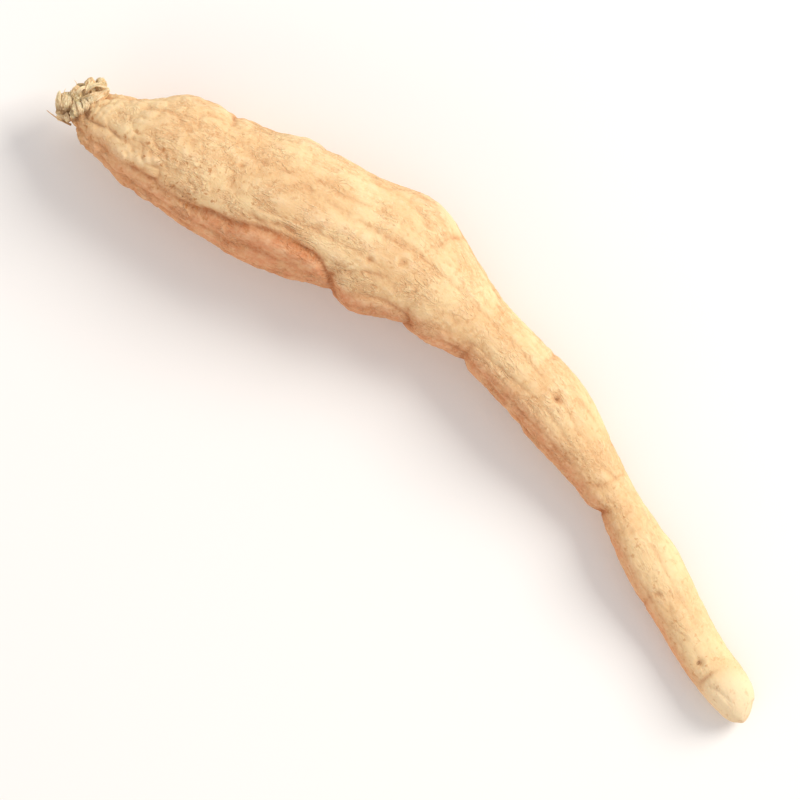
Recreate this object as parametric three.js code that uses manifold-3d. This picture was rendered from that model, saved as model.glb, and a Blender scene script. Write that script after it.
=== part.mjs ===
// A dried pseudostellaria root, whole, lying on a flat surface. Millimetres, +Z up.
//
// The root grew and dried as one piece, and it is solid all through. From -X to +X it
// has a crown knot of old buds, a wrinkled neck, a spindle-shaped belly, and a slender
// tail with a blunt end, and it bows sideways towards +Y. It rests on three low
// flat spots, under the shoulder, the belly and the tail.
//
// Places on the skin are given by two values: `along`, in millimetres from the crown
// towards the tail, and `angle`, in degrees around the axis, with 0 on the +Y side,
// 90 on top, 180 on the -Y side and 270 underneath. The finished solid is moved so
// that the origin lies on the surface under the middle of the root.

import * as THREE from 'three';
import { mergeVertices } from 'three/addons/utils/BufferGeometryUtils.js';
import Module from 'manifold-3d';

// Main lines of the root, each as [along, millimetres]
const crownEnd = 0.75;
const tailEnd = 45.35;
const bow = [
  [0, 0], [3, 0.6], [6, 1.75], [10, 2.85], [14, 4.15], [18, 5.15],
  [22.5, 5.2], [28, 4.72], [33, 3.55], [38, 1.88], [42, 0.6], [45.2, 0.05],
];
const halfWidth = [
  [0.7, 1.05], [2, 1.6], [3.5, 2.14], [5, 2.62], [7, 3.02], [9.5, 3.2], [12, 3.3],
  [16.6, 3.22], [19, 2.76], [21, 2.2], [23, 1.86], [28, 1.88], [32, 1.38], [33.6, 1.22],
  [36.5, 1.38], [41, 1.2], [43.8, 1.1], [45.2, 0.84],
];
const roundness = [[0.7, 1.0], [12, 0.94], [23, 0.97], [45.2, 0.98]]; // height over width
const lift = [
  [0.7, 1.75], [3.5, 0.95], [8, -0.16], [12.5, 0.02], [17, -0.16], [22.5, 0.5],
  [30, 0.35], [35, 0.4], [40.5, -0.12], [45.2, 0.3],
]; // clear height under the root, below zero where it is pressed flat
const rests = [8, 17, 40.5]; // where it lies on the surface, and its relief is pressed smooth

const restRelief = { kept: 0.2, along: 2, across: 1.4 };

// Net of the body: how finely it is divided
const sides = 48;
const stretches = [
  { to: 6, step: 0.3 },
  { to: 20, step: 0.4 },
  { to: 42, step: 0.52 },
  { to: 44.9, step: 0.3 },
];
const headingStep = 0.05;

// Ends of the body: the crown's dome, and the tail's blunt end, which leans back. The
// flatness of an end is the power of the cosine that draws its rings in.
const domeDepth = 0.45;
const domeRings = 3;
const blunt = { leanUp: 0.35, leanAside: 0.32, leanFrom: 42, depth: 0.5, flatness: 0.5, rings: 3 };

// Shrinkage of the whole root: broad lumps, wrinkles that run along it, and the knobbly net
// of the neck. The side that faces up and outwards is calmer than the folded one.
const lumps = { across: 2.6, along: 5.5, height: 0.13, seed: 3 };
const wrinkles = { across: 1.15, along: 3.4, height: 0.26, seed: 11 };
const net = { across: 0.7, along: 0.8, height: 0.26, seed: 23 };
const wrinkleStrength = [[0.7, 1], [4, 0.6], [12, 0.8], [20, 0.8], [30, 0.7], [41, 0.4], [43, 0.2]];
const netStrength = [[0.7, 1], [3, 0.75], [5.5, 0.45], [9, 0.2], [45.2, 0.1]];
const calm = { angle: 62, reach: 85, share: 0.55 };
const crinkleMean = 0.55;

// Rounded swellings: centre, reach along and across the root, and height
const swells = [
  { along: 3.0, angle: 5, reach: [0.9, 1.1], height: -0.14 },
  { along: 5.5, angle: 10, reach: [1.1, 1.2], height: 0.36 },
  { along: 4.6, angle: 158, reach: [2.2, 1.4], height: 0.12 },
  { along: 10.4, angle: 160, reach: [2.4, 1.2], height: 0.2 },
  { along: 11.3, angle: 12, reach: [1.4, 1.4], height: 0.3 },
  { along: 14.6, angle: 14, reach: [1.5, 1.4], height: -0.1 },
  { along: 14.4, angle: 178, reach: [1.2, 1.3], height: -0.34 },
  { along: 16.4, angle: 160, reach: [1.4, 1.3], height: 0.32 },
  { along: 21.2, angle: 160, reach: [1.4, 1.1], height: 0.26 },
  { along: 17.5, angle: 10, reach: [1.6, 1.9], height: 0.46 },
  { along: 29.6, angle: 165, reach: [2.2, 0.9], height: 0.1 },
  { along: 32.7, angle: 172, reach: [0.6, 0.8], height: 0.14 },
  { along: 36.8, angle: 20, reach: [1.6, 0.8], height: 0.08 },
  { along: 14.0, angle: 300, reach: [3.0, 1.6], height: 0.12 },
  { along: 25.5, angle: 320, reach: [2.0, 1.0], height: 0.1 },
];

// Long furrows between folds of the skin: path, half width, depth, and the lip below them,
// whose place and reach are in half widths; a furrow fades at its ends
const lipPlace = 2.2;
const lipReach = 1.4;
const furrowFade = 6;
const furrows = [
  {
    path: [[3.6, 124], [7, 136], [9.3, 126], [11.6, 119], [13.8, 124], [15, 152]],
    halfWidth: 0.26, depth: 0.24, lip: 0.16,
  },
  { path: [[9.2, 118], [10.8, 111], [13.2, 113], [14.4, 120]], halfWidth: 0.22, depth: 0.12, lip: 0.06 },
  { path: [[1.2, 95], [3.4, 102], [5.4, 98]], halfWidth: 0.2, depth: 0.08, lip: 0.03 },
  { path: [[15.2, 148], [17.4, 132], [19.2, 138]], halfWidth: 0.25, depth: 0.12, lip: 0.06 },
  { path: [[23.5, 152], [27, 146], [30.5, 150]], halfWidth: 0.25, depth: 0.1, lip: 0.04 },
  { path: [[24.5, 40], [27.5, 46], [30.8, 38]], halfWidth: 0.22, depth: 0.1, lip: 0.03 },
  { path: [[35, 64], [38, 72], [41.5, 66]], halfWidth: 0.2, depth: 0.08, lip: 0.02 },
  { path: [[43, 118], [43.7, 110], [44.4, 106]], halfWidth: 0.16, depth: 0.1, lip: 0.03 },
  { path: [[5, 232], [9, 222], [13, 228]], halfWidth: 0.3, depth: 0.22, lip: 0.08 },
  { path: [[10, 330], [14, 338], [19, 326]], halfWidth: 0.3, depth: 0.2, lip: 0.08 },
  { path: [[20, 236], [25, 242], [31, 234]], halfWidth: 0.25, depth: 0.14, lip: 0.05 },
  { path: [[33, 310], [37, 302], [41, 312]], halfWidth: 0.2, depth: 0.1, lip: 0.03 },
];

// Creases across the root: place, half the reach around it in degrees, lean in
// millimetres along for each millimetre across, half width and depth
const longestCrease = 2.2;
const creases = [
  { along: 15.0, angle: 168, span: 34, lean: 0.12, halfWidth: 0.34, depth: 0.42 },
  { along: 19.4, angle: 168, span: 34, lean: 0.1, halfWidth: 0.34, depth: 0.36 },
  { along: 22.9, angle: 170, span: 40, lean: 0.12, halfWidth: 0.34, depth: 0.34 },
  { along: 33.4, angle: 168, span: 42, lean: 0.1, halfWidth: 0.36, depth: 0.38 },
  { along: 7.3, angle: 14, span: 30, lean: 0.05, halfWidth: 0.3, depth: 0.2 },
  { along: 18.4, angle: 42, span: 24, lean: -0.35, halfWidth: 0.26, depth: 0.22 },
  { along: 32.1, angle: 76, span: 40, lean: -0.2, halfWidth: 0.24, depth: 0.15 },
  { along: 42.8, angle: 122, span: 45, lean: -0.35, halfWidth: 0.2, depth: 0.14 },
  { along: 27.3, angle: 172, span: 34, lean: 0.1, halfWidth: 0.28, depth: 0.14 },
  { along: 38.2, angle: 164, span: 46, lean: 0.05, halfWidth: 0.26, depth: 0.12 },
  { along: 26.0, angle: 14, span: 30, lean: -0.1, halfWidth: 0.24, depth: 0.12 },
  { along: 11.9, angle: 6, span: 30, lean: 0.1, halfWidth: 0.26, depth: 0.08 },
];

// Scars where rootlets broke off: place, radius and depth, and the shape of one in radii
const scarShape = { pit: 0.8, rimPlace: 1.5, rimReach: 0.5, rimHeight: 0.2 };
const scars = [
  { along: 8.9, angle: 76, radius: 0.24, depth: 0.07 },
  { along: 13.2, angle: 98, radius: 0.22, depth: 0.06 },
  { along: 15.9, angle: 104, radius: 0.22, depth: 0.07 },
  { along: 17.4, angle: 91, radius: 0.26, depth: 0.11 },
  { along: 27.5, angle: 76, radius: 0.34, depth: 0.12 },
  { along: 34.9, angle: 98, radius: 0.2, depth: 0.06 },
  { along: 37.9, angle: 112, radius: 0.22, depth: 0.07 },
  { along: 41.9, angle: 110, radius: 0.26, depth: 0.1 },
];

// Knobbly warts of the neck: place, radius and height
const warts = [
  { along: 3.5, angle: 121, radius: 0.5, height: 0.28 },
  { along: 2.3, angle: 138, radius: 0.42, height: 0.24 },
  { along: 4.5, angle: 112, radius: 0.4, height: 0.18 },
  { along: 2.0, angle: 70, radius: 0.5, height: 0.14 },
  { along: 1.5, angle: 175, radius: 0.45, height: 0.2 },
  { along: 1.9, angle: 250, radius: 0.5, height: 0.2 },
  { along: 2.6, angle: 310, radius: 0.45, height: 0.16 },
];

// Scars and creases of the underside, placed by a rule: every second scar has a crease
const underside = {
  count: 14, from: 4, to: 42, lowAngle: 205, highAngle: 340, seed: 7,
  scar: { smallest: 0.3, largest: 0.42, depth: 0.15 },
  crease: { span: 30, mostLean: 0.25, halfWidth: 0.26, depth: 0.14 },
};

// Old buds and scales of the crown knot: centre in millimetres from the crown's end on
// the axis, half sizes, and turn in degrees about Z
const buds = [
  { centre: [-0.78, -0.3, 0.1], half: [0.58, 0.5, 0.56], turn: 12 },
  { centre: [-0.5, -0.75, -0.1], half: [0.5, 0.34, 0.5], turn: 30 },
  { centre: [-0.45, 0.3, 0.4], half: [0.62, 0.34, 0.42], turn: -14 },
  { centre: [-0.25, 0.95, 0.2], half: [0.58, 0.36, 0.42], turn: -38 },
  { centre: [-0.05, 1.35, -0.1], half: [0.5, 0.3, 0.38], turn: -50 },
  { centre: [-0.55, 0.35, -0.35], half: [0.6, 0.72, 0.4], turn: 0 },
  { centre: [0.25, 0.55, 0.78], half: [0.24, 1.0, 0.32], turn: -8 },
  { centre: [-0.1, 0.25, 0.1], half: [0.62, 1.05, 0.62], turn: -10 }, // stump that the others sit on
];
const budSides = 10;
const budPucker = { height: 0.26, perSize: 1.6 };

const radiansPerDegree = Math.PI / 180;

// A smooth line through the given points, level beyond its ends: cubic pieces whose
// slope at each point is that of the line between its two neighbours
function through(points, at) {
  const last = points.length - 1;
  if (at <= points[0][0]) return points[0][1];
  if (at >= points[last][0]) return points[last][1];
  const slope = (i) => {
    const before = points[Math.max(i - 1, 0)];
    const after = points[Math.min(i + 1, last)];
    return (after[1] - before[1]) / (after[0] - before[0]);
  };
  let i = 0;
  while (at > points[i + 1][0]) i += 1;
  const gap = points[i + 1][0] - points[i][0];
  const t = (at - points[i][0]) / gap;
  const rise = t * t * (3 - 2 * t);
  return points[i][1] * (1 - rise) + points[i + 1][1] * rise
    + gap * t * (1 - t) * ((1 - t) * slope(i) - t * slope(i + 1));
}

// A repeatable value between 0 and 1 for whole numbers
function drawn(i, j, k, seed) {
  const wave = Math.sin(i * 12.9898 + j * 78.233 + k * 37.719 + seed * 4.581) * 43758.5453;
  return wave - Math.floor(wave);
}

// Smooth noise between -1 and 1 over space, one cell per unit
function noise(x, y, z, seed) {
  const [i, j, k] = [Math.floor(x), Math.floor(y), Math.floor(z)];
  const soft = (t) => t * t * (3 - 2 * t);
  const [u, v, w] = [soft(x - i), soft(y - j), soft(z - k)];
  let sum = 0;
  for (let corner = 0; corner < 8; corner += 1) {
    const [a, b, c] = [corner & 1, (corner >> 1) & 1, corner >> 2];
    const share = (a ? u : 1 - u) * (b ? v : 1 - v) * (c ? w : 1 - w);
    sum += share * drawn(i + a, j + b, k + c, seed);
  }
  return 2 * sum - 1;
}

// Full at zero distance and gone beyond about twice the reach
const bell = (distance, reach) => Math.exp(-((distance / reach) ** 2));

// A sharp valley with soft shoulders
const fold = (distance, reach) => Math.exp(-Math.abs(distance) / reach);

// Degrees from one angle to another, the short way round
const degreesFrom = (angle, centre) => ((angle - centre + 540) % 360) - 180;

// Rounded skin between sharp valleys: noise folded at its middle value
function crinkle(pattern, along, y, z) {
  const value = noise(along / pattern.along, y / pattern.across, z / pattern.across, pattern.seed);
  return Math.sqrt(Math.abs(value)) - crinkleMean;
}

function undersideMarks() {
  const marks = { creases: [], scars: [] };
  const { count, from, to, lowAngle, highAngle, seed, scar, crease } = underside;
  for (let i = 0; i < count; i += 1) {
    const place = {
      along: from + ((to - from) * (i + drawn(i, 1, 0, seed))) / count,
      angle: lowAngle + (highAngle - lowAngle) * drawn(i, 2, 0, seed),
    };
    const radius = scar.smallest + (scar.largest - scar.smallest) * drawn(i, 3, 0, seed);
    marks.scars.push({ ...place, radius, depth: scar.depth });
    if (i % 2 === 0) {
      const lean = crease.mostLean * (2 * drawn(i, 4, 0, seed) - 1);
      marks.creases.push({ ...place, ...crease, lean });
    }
  }
  return marks;
}

const hidden = undersideMarks();
const allCreases = [...creases, ...hidden.creases];
const allScars = [...scars, ...hidden.scars];

// Height of the skin's relief above the plain spindle, in millimetres
function relief(along, angle, radius) {
  const y = radius * Math.cos(angle * radiansPerDegree);
  const z = radius * Math.sin(angle * radiansPerDegree);
  const across = (centre) => degreesFrom(angle, centre) * radiansPerDegree * radius;

  let free = 1;
  for (const rest of rests) {
    const pressed = bell(along - rest, restRelief.along) * bell(across(270), restRelief.across);
    free -= (1 - restRelief.kept) * pressed;
  }
  const folded = 1 - calm.share * bell(degreesFrom(angle, calm.angle), calm.reach);
  const wrinkled = wrinkles.height * through(wrinkleStrength, along) * folded;
  const netted = net.height * through(netStrength, along);
  const broad = noise(along / lumps.along, y / lumps.across, z / lumps.across, lumps.seed);
  let height = lumps.height * broad;
  height += wrinkled * crinkle(wrinkles, along, y, z);
  height += netted * crinkle(net, along, y, z);
  height *= free;

  for (const swell of swells) {
    const [reachAlong, reachAcross] = swell.reach;
    height += swell.height * bell(along - swell.along, reachAlong)
      * bell(across(swell.angle), reachAcross);
  }
  for (const furrow of furrows) {
    const [start, end] = [furrow.path[0][0], furrow.path[furrow.path.length - 1][0]];
    const fromMiddle = (along - (start + end) / 2) / ((end - start) / 2);
    const inside = Math.exp(-(fromMiddle ** furrowFade));
    const distance = across(through(furrow.path, along));
    const toLip = distance - lipPlace * furrow.halfWidth;
    height -= furrow.depth * inside * fold(distance, furrow.halfWidth);
    height += furrow.lip * inside * bell(toLip, lipReach * furrow.halfWidth);
  }
  for (const crease of allCreases) {
    const aside = across(crease.angle);
    const reach = Math.min(crease.span * radiansPerDegree * radius, longestCrease);
    const distance = along - crease.along - crease.lean * aside;
    height -= crease.depth * fold(distance, crease.halfWidth) * bell(aside, reach);
  }
  for (const scar of allScars) {
    const distance = Math.hypot(along - scar.along, across(scar.angle)) / scar.radius;
    const rim = scarShape.rimHeight * bell(distance - scarShape.rimPlace, scarShape.rimReach);
    height += scar.depth * (rim - bell(distance, scarShape.pit));
  }
  for (const wart of warts) {
    const distance = Math.hypot(along - wart.along, across(wart.angle));
    height += wart.height * bell(distance, wart.radius);
  }
  return height;
}

// Middle of the root at a distance along it
function axisPoint(along) {
  const halfHeight = through(halfWidth, along) * through(roundness, along);
  return new THREE.Vector3(along, through(bow, along), through(lift, along) + halfHeight);
}

// A point of the body's skin; scale draws a ring in towards the axis at the two ends
function skinPoint(ring, angle) {
  const { along, scale, shift } = ring;
  const width = through(halfWidth, along);
  const height = width * through(roundness, along);
  const rise = relief(along, angle, width);
  const cosine = Math.cos(angle * radiansPerDegree);
  const sine = Math.sin(angle * radiansPerDegree);

  const heading = axisPoint(along + headingStep).sub(axisPoint(along - headingStep)).normalize();
  const side = new THREE.Vector3(-heading.y, heading.x, 0).normalize();
  const up = heading.clone().cross(side);
  const outAside = scale * (width + rise) * cosine;
  const outUp = scale * (height + rise) * sine;
  const leaning = through([[blunt.leanFrom, 0], [tailEnd, 1]], along);
  const back = leaning * (blunt.leanUp * outUp + blunt.leanAside * outAside);

  const point = axisPoint(along);
  point.addScaledVector(side, outAside);
  point.addScaledVector(up, outUp);
  point.addScaledVector(heading, shift - back);
  point.z = Math.max(point.z, 0);
  return point;
}

// Rings from the crown's dome to the tail's end, each drawn in by its scale
function bodyRings() {
  const rings = [];
  for (let i = 1; i <= domeRings; i += 1) {
    const turn = (i / (domeRings + 1)) * 0.5 * Math.PI;
    rings.push({ along: crownEnd, scale: Math.sin(turn), shift: -domeDepth * Math.cos(turn) });
  }
  let from = crownEnd;
  for (const { to, step } of stretches) {
    const count = Math.round((to - from) / step);
    for (let i = 0; i < count; i += 1) {
      rings.push({ along: from + ((to - from) * i) / count, scale: 1, shift: 0 });
    }
    from = to;
  }
  for (let i = 0; i <= blunt.rings; i += 1) {
    const turn = (i / (blunt.rings + 1)) * 0.5 * Math.PI;
    const scale = Math.cos(turn) ** blunt.flatness;
    rings.push({ along: tailEnd, scale, shift: -blunt.depth * (1 - Math.sin(turn)) });
  }
  return rings;
}

// Closed grid of the body: a point at each end, and rings of points between them
function bodyGeometry() {
  const rings = bodyRings();
  const points = [skinPoint({ along: crownEnd, scale: 0, shift: -domeDepth }, 0)];
  for (const ring of rings) {
    for (let side = 0; side < sides; side += 1) {
      points.push(skinPoint(ring, (360 * side) / sides));
    }
  }
  points.push(skinPoint({ along: tailEnd, scale: 0, shift: 0 }, 0));

  const triangles = [];
  const corner = (ring, side) => 1 + ring * sides + (side % sides);
  const apart = (from, to) => points[from].distanceTo(points[to]);
  const lastPoint = points.length - 1;
  for (let side = 0; side < sides; side += 1) {
    triangles.push(0, corner(0, side + 1), corner(0, side));
    for (let ring = 0; ring < rings.length - 1; ring += 1) {
      const [a, b] = [corner(ring, side), corner(ring, side + 1)];
      const [c, d] = [corner(ring + 1, side + 1), corner(ring + 1, side)];
      if (apart(a, c) < apart(b, d)) {
        triangles.push(a, b, c, a, c, d);
      } else {
        triangles.push(a, b, d, b, c, d);
      }
    }
    triangles.push(corner(rings.length - 1, side), corner(rings.length - 1, side + 1), lastPoint);
  }
  const geometry = new THREE.BufferGeometry().setFromPoints(points);
  geometry.setIndex(triangles);
  return geometry;
}

// One bud of the crown knot: a puckered ellipsoid
function budGeometry(bud) {
  const geometry = new THREE.SphereGeometry(1, budSides, budSides / 2 + 1);
  geometry.deleteAttribute('normal');
  geometry.deleteAttribute('uv');
  const closed = mergeVertices(geometry);
  const position = closed.attributes.position;
  const vertex = new THREE.Vector3();
  for (let i = 0; i < position.count; i += 1) {
    vertex.fromBufferAttribute(position, i);
    const spot = vertex.clone().multiplyScalar(budPucker.perSize);
    vertex.multiplyScalar(1 + budPucker.height * noise(spot.x + bud.turn, spot.y, spot.z, net.seed));
    position.setXYZ(i, vertex.x, vertex.y, vertex.z);
  }
  closed.scale(...bud.half);
  closed.rotateZ(bud.turn * radiansPerDegree);
  const crown = axisPoint(crownEnd);
  closed.translate(crown.x + bud.centre[0], crown.y + bud.centre[1], crown.z + bud.centre[2]);
  return closed;
}

// Closed meshes are joined as solids, and the result goes back to a geometry
const wasm = await Module();
wasm.setup();

function solidFrom(geometry) {
  return new wasm.Manifold(new wasm.Mesh({
    numProp: 3,
    vertProperties: new Float32Array(geometry.attributes.position.array),
    triVerts: new Uint32Array(geometry.index.array),
  }));
}

function geometryFrom(solid) {
  const mesh = solid.getMesh();
  const geometry = new THREE.BufferGeometry();
  geometry.setAttribute('position', new THREE.BufferAttribute(mesh.vertProperties, 3));
  geometry.setIndex(new THREE.BufferAttribute(mesh.triVerts, 1));
  return geometry;
}

function rootGeometry() {
  let solid = solidFrom(bodyGeometry());
  for (const bud of buds) {
    solid = solid.add(solidFrom(budGeometry(bud)));
  }
  const geometry = geometryFrom(solid);
  geometry.computeBoundingBox();
  const middle = geometry.boundingBox.getCenter(new THREE.Vector3());
  geometry.translate(-middle.x, -middle.y, -geometry.boundingBox.min.z);
  geometry.computeVertexNormals();
  return geometry;
}

const driedSkin = new THREE.MeshStandardMaterial({ color: '#ecd0a1', roughness: 0.82, metalness: 0 });

const root = new THREE.Mesh(rootGeometry(), driedSkin);
root.name = 'root';

const model = new THREE.Group();
model.add(root);

export default model;
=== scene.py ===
import bpy
import numpy as np
from mathutils import Matrix, Vector


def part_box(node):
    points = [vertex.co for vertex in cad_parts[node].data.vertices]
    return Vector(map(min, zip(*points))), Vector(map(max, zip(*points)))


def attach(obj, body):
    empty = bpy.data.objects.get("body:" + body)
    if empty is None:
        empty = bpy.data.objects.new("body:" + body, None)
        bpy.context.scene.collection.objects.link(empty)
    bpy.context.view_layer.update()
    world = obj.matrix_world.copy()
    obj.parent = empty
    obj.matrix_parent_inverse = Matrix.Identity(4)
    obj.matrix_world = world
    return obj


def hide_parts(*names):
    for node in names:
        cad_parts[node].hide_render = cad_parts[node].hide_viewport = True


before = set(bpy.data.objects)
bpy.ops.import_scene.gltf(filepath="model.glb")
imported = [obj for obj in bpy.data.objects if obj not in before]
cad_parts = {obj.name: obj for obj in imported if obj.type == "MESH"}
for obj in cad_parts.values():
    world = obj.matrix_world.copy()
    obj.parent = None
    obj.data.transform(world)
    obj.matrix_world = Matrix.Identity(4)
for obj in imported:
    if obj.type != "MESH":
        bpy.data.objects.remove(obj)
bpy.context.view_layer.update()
_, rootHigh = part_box("root")
metresPerMm = 0.001


# Shared maths: each function takes and gives whole arrays


def through(points, at):
    # Smooth line through (place, value) points, level beyond its ends: cubic pieces whose
    # slope at a point is that of the line between its two neighbours
    places, values = np.array(points, float).T
    after = np.minimum(np.arange(len(places)) + 1, len(places) - 1)
    before = np.maximum(np.arange(len(places)) - 1, 0)
    slopes = (values[after] - values[before]) / (places[after] - places[before])
    at = np.clip(at, places[0], places[-1])
    i = np.clip(np.searchsorted(places, at, side="right") - 1, 0, len(places) - 2)
    gap = places[i + 1] - places[i]
    t = (at - places[i]) / gap
    rise = t * t * (3 - 2 * t)
    bend = gap * t * (1 - t) * ((1 - t) * slopes[i] - t * slopes[i + 1])
    return values[i] * (1 - rise) + values[i + 1] * rise + bend


def drawn(i, j, k, seed):
    # Repeatable value from 0 to 1 for whole numbers: the fraction of a large sine
    wave = np.sin(i * 12.9898 + j * 78.233 + k * 37.719 + seed * 4.581) * 43758.5453
    return wave - np.floor(wave)


def noise(x, y, z, seed):
    # Smooth noise from -1 to 1, one cell per unit: drawn values at the eight corners of a
    # cell, blended by how near each corner is
    i, j, k = np.floor(x), np.floor(y), np.floor(z)
    u, v, w = [t * t * (3 - 2 * t) for t in (x - i, y - j, z - k)]
    total = 0
    for a in (0, 1):
        for b in (0, 1):
            for c in (0, 1):
                share = (u if a else 1 - u) * (v if b else 1 - v) * (w if c else 1 - w)
                total += share * drawn(i + a, j + b, k + c, seed)
    return 2 * total - 1


def bell(distance, reach):
    # One at the middle, gone at about twice the reach
    return np.exp(-((distance / reach) ** 2))


def fold(distance, reach):
    # Sharp valley with soft shoulders, one at the middle
    return np.exp(-np.abs(distance) / reach)


def ramp(value, start, end):
    # 0 before start, 1 after end, smooth between them
    t = np.clip((value - start) / (end - start), 0, 1)
    return t * t * (3 - 2 * t)


def degreesFrom(angle, centre):
    # Degrees from one angle to another, the short way round
    return (angle - centre + 540) % 360 - 180


def unit(vectors):
    # The same directions at length one
    return vectors / np.linalg.norm(vectors, axis=-1, keepdims=True)


def fullTurn(count):
    # Even steps around, in radians
    return np.arange(count)[None, :] * 2 * np.pi / count


def softened(values, cells):
    # Mean over a square of cells, taken twice; the angle axis runs round
    for _ in range(2):
        for axis, mode in ((0, "edge"), (1, "wrap")):
            padding = [(0, 0), (0, 0)]
            padding[axis] = (cells + 1, cells)
            sums = np.cumsum(np.pad(values, padding, mode=mode), axis=axis)
            count = values.shape[axis]
            width = 2 * cells + 1
            upper = np.take(sums, np.arange(width, width + count), axis=axis)
            lower = np.take(sums, np.arange(0, count), axis=axis)
            values = (upper - lower) / width
    return values


# Making meshes


def closedGrid(points, layers):
    # Closed part from a grid (rings, sides) of points and of per-point layers: the sides run
    # round, and a pole at the mean of the end ring closes each end with triangles
    rings, sides = points.shape[:2]
    ring = np.arange(rings - 1)[:, None] * sides + 1
    side = np.arange(sides)
    onward = (side + 1) % sides
    nextRing = ring + sides
    quads = np.stack([ring + side, ring + onward, nextRing + onward, nextRing + side], axis=-1)
    last = 1 + (rings - 1) * sides
    fore = np.stack([side * 0, 1 + onward, 1 + side], axis=-1)
    aft = np.stack([last + side, last + onward, side * 0 + last + sides], axis=-1)

    def withPoles(values):
        flat = values.reshape(-1, *values.shape[2:])
        return np.concatenate([values[0].mean(0)[None], flat, values[-1].mean(0)[None]])

    triangles = np.concatenate([fore, aft])
    closedLayers = {key: withPoles(values) for key, values in layers.items()}
    return withPoles(points), quads.reshape(-1, 4), triangles, closedLayers


def joined(parts):
    # One part from several: their points one after another, and faces renumbered to match
    starts = np.cumsum([0] + [len(points) for points, *_ in parts])
    points = np.concatenate([part[0] for part in parts])
    quads = np.concatenate([part[1] + start for part, start in zip(parts, starts)])
    triangles = np.concatenate([part[2] + start for part, start in zip(parts, starts)])
    layers = {key: np.concatenate([part[3][key] for part in parts]) for key in parts[0][3]}
    return points, quads, triangles, layers


def makePiece(name, part, home, material):
    # Mesh object at the origin from a part in mm, set down at its home
    points, quads, triangles, layers = part
    points = points + home
    mesh = bpy.data.meshes.new(name)
    mesh.vertices.add(len(points))
    mesh.vertices.foreach_set("co", (points * metresPerMm).astype(np.float32).ravel())
    corners = np.concatenate([quads.ravel(), triangles.ravel()]).astype(np.int32)
    sizes = np.concatenate([np.full(len(quads), 4), np.full(len(triangles), 3)])
    mesh.loops.add(len(corners))
    mesh.loops.foreach_set("vertex_index", corners)
    mesh.polygons.add(len(sizes))
    mesh.polygons.foreach_set("loop_start", (np.cumsum(sizes) - sizes).astype(np.int32))
    mesh.polygons.foreach_set("use_smooth", np.ones(len(sizes), bool))
    for key, values in layers.items():
        vector = values.ndim == 2
        layer = mesh.attributes.new(key, "FLOAT_VECTOR" if vector else "FLOAT", "POINT")
        layer.data.foreach_set("vector" if vector else "value", values.astype(np.float32).ravel())
    mesh.update(calc_edges=True)
    mesh.validate()
    mesh.materials.append(material)
    piece = bpy.data.objects.new(name, mesh)
    bpy.context.scene.collection.objects.link(piece)
    return piece


# Making materials


def colour(hexValue):
    # sRGB hex to linear RGBA
    parts = np.array([int(hexValue[i : i + 2], 16) for i in (1, 3, 5)]) / 255
    linear = np.where(parts <= 0.04045, parts / 12.92, ((parts + 0.055) / 1.055) ** 2.4)
    return (*linear, 1.0)


def addNode(tree, kind, settings, links):
    # Adds a node; settings are its own choices, and links give each input a value, a socket,
    # or a node, whose first output is taken
    node = tree.nodes.new(kind)
    for name, value in settings.items():
        setattr(node, name, value)
    for name, value in links.items():
        if isinstance(value, bpy.types.Node):
            value = value.outputs[0]
        if isinstance(value, bpy.types.NodeSocket):
            tree.links.new(value, node.inputs[name])
        else:
            node.inputs[name].default_value = value
    return node


def newMaterial(name):
    material = bpy.data.materials.new(name)
    material.use_nodes = True
    material.node_tree.nodes.clear()
    return material, material.node_tree


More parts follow.
